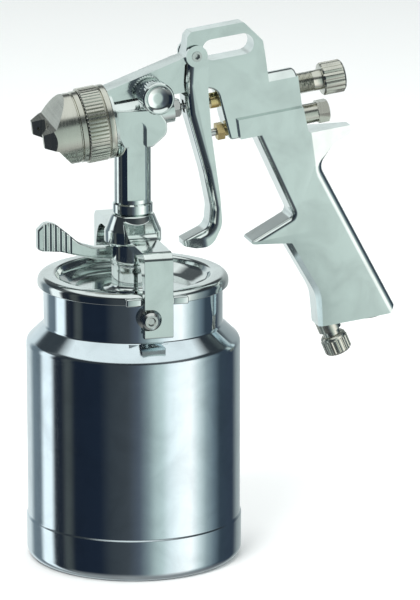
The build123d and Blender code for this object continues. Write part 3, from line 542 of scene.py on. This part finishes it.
def finish_tree(tree, given, out, geometry):
    realise = tree.nodes.new("GeometryNodeRealizeInstances")
    paint = tree.nodes.new("GeometryNodeSetMaterial")
    tree.links.new(geometry, realise.inputs["Geometry"])
    tree.links.new(realise.outputs["Geometry"], paint.inputs["Geometry"])
    tree.links.new(given.outputs["Finish"], paint.inputs["Material"])
    tree.links.new(paint.outputs["Geometry"], out.inputs["Geometry"])


def radial_move(tree, geometry, position, radius, inward):
    """Moves every point towards the Z axis by a length."""
    share = math_node(tree, "DIVIDE", inward, radius)
    keep = math_node(tree, "SUBTRACT", 1.0, share)
    joined = tree.nodes.new("ShaderNodeCombineXYZ")
    tree.links.new(math_node(tree, "MULTIPLY", position.outputs["X"], keep), joined.inputs["X"])
    tree.links.new(math_node(tree, "MULTIPLY", position.outputs["Y"], keep), joined.inputs["Y"])
    tree.links.new(position.outputs["Z"], joined.inputs["Z"])
    place = tree.nodes.new("GeometryNodeSetPosition")
    tree.links.new(geometry, place.inputs["Geometry"])
    tree.links.new(joined.outputs["Vector"], place.inputs["Position"])
    return place.outputs["Geometry"]


def split_position(tree):
    where = tree.nodes.new("GeometryNodeInputPosition")
    position = tree.nodes.new("ShaderNodeSeparateXYZ")
    tree.links.new(where.outputs["Position"], position.inputs["Vector"])
    square = math_node(
        tree,
        "ADD",
        math_node(tree, "MULTIPLY", position.outputs["X"], position.outputs["X"]),
        math_node(tree, "MULTIPLY", position.outputs["Y"], position.outputs["Y"]),
    )
    return position, math_node(tree, "MAXIMUM", math_node(tree, "SQRT", square), 1e-5)


def build_flute_tree():
    """Cuts straight flutes into the rim of a turned blank."""
    tree, given, out = geometry_tree(
        "Cut flutes",
        [
            ("Count", "Float"),
            ("Depth", "Float"),
            ("Rim radius", "Float"),
            ("Rim width", "Float"),
            ("Low", "Float"),
            ("High", "Float"),
            ("Land", "Float"),
            ("Finish", "Material"),
        ],
    )
    position, radius = split_position(tree)
    angle = math_node(tree, "ARCTAN2", position.outputs["Y"], position.outputs["X"])
    wave = math_node(tree, "COSINE", math_node(tree, "MULTIPLY", angle, given.outputs["Count"]))
    groove = spread(tree, wave, given.outputs["Land"], 1.0, 0.0, 1.0)
    inner = math_node(tree, "SUBTRACT", given.outputs["Rim radius"], given.outputs["Rim width"])
    near_rim = spread(tree, radius, inner, given.outputs["Rim radius"], 0.0, 1.0)
    above = math_node(tree, "GREATER_THAN", position.outputs["Z"], given.outputs["Low"])
    below = math_node(tree, "LESS_THAN", position.outputs["Z"], given.outputs["High"])
    groove_at_rim = math_node(tree, "MULTIPLY", groove, near_rim)
    amount = math_node(tree, "MULTIPLY", groove_at_rim, math_node(tree, "MULTIPLY", above, below))
    inward = math_node(tree, "MULTIPLY", amount, given.outputs["Depth"])
    moved = radial_move(tree, given.outputs["Geometry"], position, radius, inward)
    finish_tree(tree, given, out, moved)
    return tree


def build_thread_tree():
    """Cuts a helical thread into a stretch of a turned blank."""
    tree, given, out = geometry_tree(
        "Cut thread",
        [
            ("Pitch", "Float"),
            ("Depth", "Float"),
            ("Low", "Float"),
            ("High", "Float"),
            ("Inside", "Float"),
            ("Finish", "Material"),
        ],
    )
    position, radius = split_position(tree)
    angle = math_node(tree, "ARCTAN2", position.outputs["Y"], position.outputs["X"])
    pitches = math_node(tree, "DIVIDE", position.outputs["Z"], given.outputs["Pitch"])
    rise = math_node(tree, "MULTIPLY", pitches, 2 * math.pi)
    wave = math_node(tree, "COSINE", math_node(tree, "SUBTRACT", rise, angle))
    cut = spread(tree, wave, -1.0, 1.0, 0.0, 1.0)
    above = math_node(tree, "GREATER_THAN", position.outputs["Z"], given.outputs["Low"])
    below = math_node(tree, "LESS_THAN", position.outputs["Z"], given.outputs["High"])
    outside = math_node(tree, "GREATER_THAN", radius, given.outputs["Inside"])
    mask = math_node(tree, "MULTIPLY", math_node(tree, "MULTIPLY", above, below), outside)
    inward = math_node(tree, "MULTIPLY", math_node(tree, "MULTIPLY", cut, mask), given.outputs["Depth"])
    moved = radial_move(tree, given.outputs["Geometry"], position, radius, inward)
    finish_tree(tree, given, out, moved)
    return tree


def build_spring_tree():
    """Winds a round wire into a coil up Z."""
    tree, given, out = geometry_tree(
        "Wind spring",
        [
            ("Radius", "Float"),
            ("Wire", "Float"),
            ("Length", "Float"),
            ("Turns", "Float"),
            ("Finish", "Material"),
        ],
    )
    spiral = tree.nodes.new("GeometryNodeCurveSpiral")
    spiral.inputs["Resolution"].default_value = 24
    wiring = {"Start Radius": "Radius", "End Radius": "Radius", "Height": "Length", "Rotations": "Turns"}
    for label, source in wiring.items():
        tree.links.new(given.outputs[source], spiral.inputs[label])
    wire = tree.nodes.new("GeometryNodeCurvePrimitiveCircle")
    wire.inputs["Resolution"].default_value = 10
    tree.links.new(given.outputs["Wire"], wire.inputs["Radius"])
    sweep = tree.nodes.new("GeometryNodeCurveToMesh")
    sweep.inputs["Fill Caps"].default_value = True
    tree.links.new(spiral.outputs["Curve"], sweep.inputs["Curve"])
    tree.links.new(wire.outputs["Curve"], sweep.inputs["Profile Curve"])
    finish_tree(tree, given, out, sweep.outputs["Mesh"])
    return tree


def run_tree(mesh, tree, material, **values):
    """Runs a tree on a mesh and returns the plain mesh that it makes."""
    holder = bpy.data.objects.new("blank", mesh)
    bpy.context.scene.collection.objects.link(holder)
    modifier = holder.modifiers.new(tree.name, "NODES")
    modifier.node_group = tree
    sockets = {item.name: item.identifier for item in tree.interface.items_tree if item.in_out == "INPUT"}
    modifier[sockets["Finish"]] = material
    for label, value in values.items():
        modifier[sockets[label.replace("_", " ")]] = float(value)
    return baked_mesh(holder, mesh.name)


def tree_named(name, build):
    return bpy.data.node_groups.get(name) or build()


# ---------------------------------------------------------------- operators


class SPRAYGUN_OT_finishes(bpy.types.Operator):
    """Build every metal and seal finish and give them to the CAD pieces"""

    bl_idname = "spraygun.finishes"
    bl_label = "Finishes"

    def execute(self, context):
        build_materials()
        for node, piece in NODES.items():
            piece.data.materials.clear()
            piece.data.materials.append(slot_material(SLOT_OF[node]))
        return {"FINISHED"}


class SPRAYGUN_OT_cup(bpy.types.Operator):
    """Turn the cup with its foot band, shoulder and neck"""

    bl_idname = "spraygun.cup"
    bl_label = "Cup"

    def execute(self, context):
        s = context.scene.spraygun_cup
        base_round = 4.5 * MM
        floor = 1.6 * MM
        outline = rounded(
            [
                (0, 0, 0),
                (s.band_radius, 0, base_round),
                (s.band_radius, s.band_height, 0.5 * MM),
                (s.radius, s.band_height + 0.9 * MM, 0.8 * MM),
                (s.radius, s.shoulder, 4.5 * MM),
                (s.neck_radius, s.neck_height, 2.0 * MM),
                (s.neck_radius, s.rim, 0.4 * MM),
                (s.neck_radius - s.wall, s.rim, 0.4 * MM),
                (s.neck_radius - s.wall, s.neck_height - 0.5 * MM, 1.5 * MM),
                (s.radius - s.wall, s.shoulder - 0.5 * MM, 3.5 * MM),
                (s.radius - s.wall, floor, base_round - s.wall),
                (0, floor, 0),
            ],
            steps=10,
        )
        add_piece("cup_body", turned("cup_body", outline, 256), "cup")
        return {"FINISHED"}


class SPRAYGUN_OT_lid(bpy.types.Operator):
    """Turn the lid and add its four lugs"""

    bl_idname = "spraygun.lid"
    bl_label = "Lid"

    def execute(self, context):
        s = context.scene.spraygun_lid
        stem = 7.65 * MM
        floor_top = s.top - s.dish
        floor = floor_top - 1.9 * MM
        edge = s.radius
        outline = rounded(
            [
                (stem, s.boss_top, 0),
                (s.boss_radius, s.boss_top, 0.35 * MM),
                (s.boss_radius, floor_top + 0.9 * MM, 2.6 * MM),
                (s.boss_radius + 4.0 * MM, floor_top, 3.0 * MM),
                (edge - 17.0 * MM, floor_top + 0.7 * MM, 9.0 * MM),
                (edge - 10.4 * MM, floor_top + 4.4 * MM, 5.0 * MM),
                (edge - 8.4 * MM, s.top, 1.8 * MM),
                (edge, s.top, 3.4 * MM),
                (edge, s.skirt, 0.5 * MM),
                (edge - 1.9 * MM, s.skirt, 0.4 * MM),
                (edge - 1.9 * MM, s.top - 2.3 * MM, 0.4 * MM),
                (edge - 7.6 * MM, s.top - 2.4 * MM, 0.5 * MM),
                (edge - 11.0 * MM, floor_top + 1.0 * MM, 2.0 * MM),
                (edge - 18.0 * MM, floor, 3.0 * MM),
                (stem, floor, 0),
            ],
            steps=10,
        )
        mesh = turned("lid_cover", outline, 256)
        bm = bmesh.new()
        bm.from_mesh(mesh)
        reach, height, arm = 3.6 * MM, 4.0 * MM, 7.3 * MM
        for side in (-1, 1):
            for step in (-1, 1):
                centre = Vector((step * (arm + s.lug_width / 2), side * (edge + 0.6 * MM), s.top - 3.2 * MM))
                size = Matrix.Diagonal((s.lug_width, reach, height, 1))
                made = bmesh.ops.create_cube(bm, size=1.0, matrix=Matrix.Translation(centre) @ size)
                edges = list({e for v in made["verts"] for e in v.link_edges})
                bmesh.ops.bevel(bm, geom=edges, offset=0.9 * MM, segments=4, profile=0.5, affect="EDGES")
        bm.to_mesh(mesh)
        bm.free()
        smooth_by_angle(mesh, TURNED_SHARP)
        add_piece("lid_cover", mesh, "lid")
        return {"FINISHED"}


class SPRAYGUN_OT_knurls(bpy.types.Operator):
    """Turn the retaining ring and the three knobs, and cut their ribs, flutes and thread"""

    bl_idname = "spraygun.knurls"
    bl_label = "Ring and knobs"

    def execute(self, context):
        s = context.scene.spraygun_knobs
        self.retaining_ring(s)
        self.needle_knob(s)
        self.fan_knob(s)
        self.air_knob(s)
        return {"FINISHED"}

    def fluted(self, node, name, points, segments, **values):
        """Turns a blank from its outline and cuts its flutes."""
        flutes = tree_named("Cut flutes", build_flute_tree)
        return run_tree(turned(name, points, segments), flutes, slot_material(SLOT_OF[node]), **values)

    def put(self, node, name, mesh, place, sharp):
        """Lays a cut blank in its place on the gun and adds it as a piece."""
        mesh.transform(place)
        smooth_by_angle(mesh, sharp)
        add_piece(name, mesh, node)

    def retaining_ring(self, s):
        radius = 18.2
        outline = [
            (15.3, -25.6, 0),
            (radius - 0.5, -25.6, 0.3),
            (radius, -25.0, 0.2),
            (radius, -15.9, 0.3),
            (radius - 1.0, -15.6, 0.1),
            (radius - 1.0, -15.3, 0.1),
            (radius - 0.2, -14.9, 0.3),
            (radius - 0.2, -12.0, 0.7),
            (16.55, -12.0, 0.2),
            (16.55, -24.0, 0),
            (15.3, -24.0, 0),
        ]
        points = rounded(in_metres(outline), steps=4)
        mesh = self.fluted(
            "cap_ring", "retaining_ring", points, s.ring_ribs * 8,
            Count=s.ring_ribs, Depth=s.ring_depth, Rim_radius=radius * MM, Rim_width=0.45 * MM,
            Low=-26.0 * MM, High=-15.75 * MM, Land=0.1,
        )
        self.put("cap_ring", "retaining_ring", mesh, ALONG_NEEDLE, 35)

    def needle_knob(self, s):
        node = "needle_knob"
        front, back, radius = 94.8, 106.2, 8.0
        sleeve_start, thread_end = 72.0, 90.3
        outline = [
            (3.95, sleeve_start, 0),
            (5.1, sleeve_start, 0.3),
            (5.1, thread_end, 0),
            (5.0, 90.5, 0),
            (5.0, front, 0.2),
            (radius - 0.5, front, 0.2),
            (radius, front + 0.8, 0.4),
            (radius, back - 1.0, 0.6),
            (radius - 1.3, back, 0.8),
            (0, back, 0),
            (0, 96.2, 0),
            (3.95, 96.2, 0),
        ]
        points = rounded(in_metres(outline), steps=5)
        points = divided(points, sleeve_start * MM, 90.4 * MM, 0.12 * MM)
        mesh = self.fluted(
            node, "needle_adjuster", points, s.needle_flutes * 14,
            Count=s.needle_flutes, Depth=s.flute_depth, Rim_radius=radius * MM, Rim_width=1.6 * MM,
            Low=(front + 0.05) * MM, High=(back + 1) * MM, Land=-0.2,
        )
        mesh = run_tree(
            mesh, tree_named("Cut thread", build_thread_tree), slot_material(SLOT_OF[node]),
            Pitch=s.pitch, Depth=0.5 * MM, Low=72.4 * MM, High=90.2 * MM, Inside=4.6 * MM,
        )
        self.put(node, "needle_adjuster", mesh, ALONG_NEEDLE, 40)

    def fan_knob(self, s):
        start, length, radius = 11.3, 10.8, 7.75
        end = start + length
        outline = [
            (2.05, start, 0),
            (radius - 0.8, start, 0.3),
            (radius, start + 0.8, 0.3),
            (radius, end - 0.6, 0.35),
            (radius - 0.6, end, 0.25),
            (radius - 1.1, end, 0.25),
            (5.4, end - 1.3, 3.0),
            (2.6, end - 2.1, 5.0),
            (0, end - 2.2, 0),
            (0, end - 5.0, 0),
            (2.05, end - 5.0, 0),
        ]
        points = rounded(in_metres(outline), steps=8)
        place = GUN @ Matrix.Translation((9.3 * MM, 0, 10.8 * MM)) @ Matrix.Rotation(math.radians(90), 4, "X")
        mesh = self.fluted(
            "fan_knob", "fan_adjuster", points, s.fan_ribs * 8,
            Count=s.fan_ribs, Depth=0.45 * MM, Rim_radius=radius * MM, Rim_width=0.5 * MM,
            Low=(start - 1) * MM, High=(end - 0.55) * MM, Land=0.0,
        )
        self.put("fan_knob", "fan_adjuster", mesh, place, 35)

    def air_knob(self, s):
        start, end, radius = 7.2, 16.8, 6.75
        neck_start = 4.7
        outline = [
            (2.45, neck_start, 0),
            (4.3, neck_start, 0.3),
            (4.3, start, 0.3),
            (radius - 1.3, start, 0.3),
            (radius - 0.4, start + 0.9, 0.3),
            (radius - 0.4, start + 1.8, 0.1),
            (radius, start + 2.2, 0.2),
            (radius, end - 1.0, 0.5),
            (radius - 1.0, end, 0.7),
            (0, end, 0),
            (0, start + 5.0, 0),
            (2.45, start + 5.0, 0),
        ]
        points = rounded(in_metres(outline), steps=5)
        lean = math.radians(180.0 - 15.0)
        place = GUN @ Matrix.Translation((82.0 * MM, 0, -120.6 * MM)) @ Matrix.Rotation(lean, 4, "Y")
        mesh = self.fluted(
            "control_knob", "air_adjuster", points, s.air_flutes * 12,
            Count=s.air_flutes, Depth=s.flute_depth * 0.9, Rim_radius=radius * MM, Rim_width=1.2 * MM,
            Low=(start + 1.95) * MM, High=(end + 1) * MM, Land=-0.1,
        )
        self.put("control_knob", "air_adjuster", mesh, place, 35)


class SPRAYGUN_OT_springs(bpy.types.Operator):
    """Wind the needle spring and the air valve spring"""

    bl_idname = "spraygun.springs"
    bl_label = "Springs"

    def execute(self, context):
        self.wind(
            "needle_spring", "needle_return_spring", "needle_slide",
            height=0.0, low=64.6, high=95.6, radius=2.85, turns=13,
        )
        self.wind(
            "valve_spring", "air_valve_spring", "valve_stem_slide",
            height=-15.6, low=69.7, high=87.7, radius=3.05, turns=9,
        )
        return {"FINISHED"}

    def wind(self, node, name, joint, height, low, high, radius, turns):
        """Winds a spring between two stations of the gun; its joint is not used."""
        wire_radius, end_gap = 0.38, 0.7
        tree = tree_named("Wind spring", build_spring_tree)
        mesh = run_tree(
            bpy.data.meshes.new(name), tree, slot_material(SLOT_OF[node]),
            Radius=radius * MM, Wire=wire_radius * MM, Length=(high - low - 2 * end_gap) * MM, Turns=turns,
        )
        place = GUN @ Matrix.Translation((0, 0, height * MM)) @ Matrix.Rotation(math.radians(90), 4, "Y")
        mesh.transform(place @ Matrix.Translation((0, 0, (low + end_gap) * MM)))
        smooth_by_angle(mesh, 60)
        spring = add_piece(name, mesh, node)
        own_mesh(spring)


class SPRAYGUN_OT_castings(bpy.types.Operator):
    """Soften the edges of the cast pieces and give the milled and turned pieces merged, smooth-shaded copies
    """

    bl_idname = "spraygun.castings"
    bl_label = "Castings and turned pieces"

    def execute(self, context):
        s = context.scene.spraygun_edges
        cast = ("gun_body", "fluid_leg", "trigger", "yoke", "cam_lever")
        for node in cast:
            add_piece(node + "_cast", polished_copy(node, s.casting), node)
        milled = (
            "air_cap", "fluid_nozzle", "valve_plug", "valve_packing_nut", "needle_packing_nut",
            "needle_guide", "coupling_nut", "control_collar", "trigger_pin", "trigger_pin_nut",
            "cup_studs", "air_inlet", "fluid_stem", "needle", "valve_stem", "stem_locknut",
            "lid_gasket", "siphon_tube",
        )
        for node in milled:
            add_piece(node + "_made", polished_copy(node, 0.0), node)
        return {"FINISHED"}


class SPRAYGUN_OT_stage(bpy.types.Operator):
    """Lay the floor, light the studio and set the camera"""

    bl_idname = "spraygun.stage"
    bl_label = "Stage"

    def execute(self, context):
        s = context.scene.spraygun_stage
        self.floor(s)
        self.surroundings(context)
        self.lamps(context)
        self.camera(context, s)
        context.scene.view_settings.view_transform = "Standard"
        return {"FINISHED"}

    def floor(self, s):
        size = s.floor_size
        mesh = bpy.data.meshes.new("floor")
        corners = [(-size, -size, 0), (size, -size, 0), (size, size, 0), (-size, size, 0)]
        mesh.from_pydata(corners, [], [(0, 1, 2, 3)])
        material, _, shader = start_material("Floor", tuple(s.floor), 0.8, metallic=0.0)
        shader.inputs["Specular IOR Level"].default_value = 0.1
        mesh.materials.append(material)
        floor = bpy.data.objects.new("floor", mesh)
        bpy.context.scene.collection.objects.link(floor)
        # The metal mirrors the studio's panels, not the floor.
        floor.visible_glossy = False

    def surroundings(self, context):
        """Pale and dark studio panels by heading, in degrees from -Y, brighter overhead."""
        world = bpy.data.worlds.new("Studio")
        context.scene.world = world
        world.use_nodes = True
        tree = world.node_tree
        place = tree.nodes.new("ShaderNodeTexCoord")
        split = tree.nodes.new("ShaderNodeSeparateXYZ")
        tree.links.new(place.outputs["Generated"], split.inputs["Vector"])
        back = math_node(tree, "MULTIPLY", split.outputs["Y"], -1.0)
        heading = math_node(tree, "ARCTAN2", split.outputs["X"], back)
        share = spread(tree, heading, -math.pi, math.pi, 0.0, 1.0)
        ramp = tree.nodes.new("ShaderNodeValToRGB")
        tree.links.new(share, ramp.inputs["Fac"])
        panels = (
            (-180, (0.80, 0.86, 0.86)),
            (-162, (0.76, 0.83, 0.84)),
            (-150, (0.20, 0.25, 0.28)),
            (-134, (0.16, 0.20, 0.23)),
            (-127, (1.10, 1.18, 1.20)),
            (-114, (1.10, 1.18, 1.20)),
            (-108, (0.030, 0.035, 0.045)),
            (-98, (0.014, 0.020, 0.032)),
            (-91, (0.08, 0.09, 0.09)),
            (-86, (0.07, 0.08, 0.08)),
            (-80, (0.013, 0.020, 0.034)),
            (-50, (0.014, 0.022, 0.038)),
            (-38, (0.045, 0.055, 0.065)),
            (-20, (0.060, 0.070, 0.080)),
            (-8, (0.10, 0.12, 0.15)),
            (2, (0.26, 0.32, 0.33)),
            (9, (0.50, 0.59, 0.57)),
            (17, (0.64, 0.75, 0.72)),
            (25, (0.98, 1.06, 1.05)),
            (37, (1.25, 1.28, 1.25)),
            (50, (1.35, 1.33, 1.29)),
            (60, (0.78, 0.86, 0.84)),
            (71, (0.34, 0.41, 0.42)),
            (82, (0.16, 0.21, 0.24)),
            (92, (0.045, 0.065, 0.085)),
            (120, (0.040, 0.055, 0.080)),
            (134, (0.32, 0.36, 0.36)),
            (152, (0.46, 0.50, 0.50)),
            (166, (0.78, 0.85, 0.85)),
        )
        elements = ramp.color_ramp.elements
        elements.remove(elements[1])
        elements[0].position = 0.0
        elements[0].color = (*panels[0][1], 1.0)
        for degrees, colour in panels[1:]:
            elements.new((degrees + 180) / 360).color = (*colour, 1.0)
        rail = spread(tree, split.outputs["Z"], 0.30, 0.38, 0.0, 0.92)
        overhead = spread(tree, split.outputs["Z"], 0.66, 0.76, 0.0, 1.0)
        beneath = spread(tree, split.outputs["Z"], -0.92, -0.45, 1.0, 0.0)
        railed = self.blend(tree, rail, ramp.outputs["Color"], (0.035, 0.042, 0.048))
        sky = self.blend(tree, overhead, railed, (0.95, 1.0, 0.99))
        ground = self.blend(tree, beneath, sky, (0.30, 0.31, 0.31))
        tree.links.new(ground, tree.nodes["Background"].inputs["Color"])
        tree.nodes["Background"].inputs["Strength"].default_value = 1.0

    def blend(self, tree, factor, first, colour):
        mix = tree.nodes.new("ShaderNodeMix")
        mix.data_type = "RGBA"
        tree.links.new(factor, mix.inputs["Factor"])
        tree.links.new(first, mix.inputs["A"])
        mix.inputs["B"].default_value = (*colour, 1.0)
        return mix.outputs["Result"]

    def lamps(self, context):
        """Three soft boxes: the key from the upper left, a fill from the right and one overhead."""
        boxes = (
            ("key", (-0.9, -0.9, 1.5), 0.8, 26.0),
            ("fill", (1.2, -0.6, 1.3), 1.2, 8.0),
            ("top", (0.1, 0.5, 1.9), 1.2, 16.0),
        )
        aim = Vector((0.03, 0, 0.12))
        for name, place, size, power in boxes:
            light = bpy.data.lights.new(name, "AREA")
            light.size = size
            light.energy = power
            lamp = bpy.data.objects.new(name, light)
            lamp.location = place
            lamp.rotation_euler = (aim - Vector(place)).to_track_quat("-Z", "Y").to_euler()
            lamp.visible_glossy = False
            context.scene.collection.objects.link(lamp)

    def camera(self, context, s):
        data = bpy.data.cameras.new("camera")
        data.lens = 243.6
        data.clip_start = 0.05
        camera = bpy.data.objects.new("camera", data)
        camera.location = (-0.458, -1.8534, 0.6098)
        camera.rotation_euler = (math.pi / 2 - s.elevation, 0, s.azimuth)
        context.scene.collection.objects.link(camera)
        context.scene.camera = camera


class SPRAYGUN_PT_panel(bpy.types.Panel):
    """Lists the pieces and the stage"""

    bl_idname = "SPRAYGUN_PT_panel"
    bl_label = "Spray gun"
    bl_space_type = "VIEW_3D"
    bl_region_type = "UI"
    bl_category = "Spray gun"

    def draw(self, context):
        for operator in OPERATORS:
            self.layout.operator(operator.bl_idname)


SETTINGS = {
    "spraygun_cup": CupSettings,
    "spraygun_lid": LidSettings,
    "spraygun_knobs": KnobSettings,
    "spraygun_edges": EdgeSettings,
    "spraygun_finish": FinishSettings,
    "spraygun_stage": StageSettings,
}
OPERATORS = (
    SPRAYGUN_OT_finishes,
    SPRAYGUN_OT_cup,
    SPRAYGUN_OT_lid,
    SPRAYGUN_OT_knurls,
    SPRAYGUN_OT_springs,
    SPRAYGUN_OT_castings,
    SPRAYGUN_OT_stage,
)


def register():
    for group in SETTINGS.values():
        bpy.utils.register_class(group)
    for operator in OPERATORS:
        bpy.utils.register_class(operator)
    bpy.utils.register_class(SPRAYGUN_PT_panel)
    for name, group in SETTINGS.items():
        setattr(bpy.types.Scene, name, PointerProperty(type=group))


def unregister():
    for name in SETTINGS:
        delattr(bpy.types.Scene, name)
    bpy.utils.unregister_class(SPRAYGUN_PT_panel)
    for operator in reversed(OPERATORS):
        bpy.utils.unregister_class(operator)
    for group in reversed(SETTINGS.values()):
        bpy.utils.unregister_class(group)


def main():
    register()
    for operator in OPERATORS:
        family, action = operator.bl_idname.split(".")
        getattr(getattr(bpy.ops, family), action)()


if __name__ == "__main__":
    main()
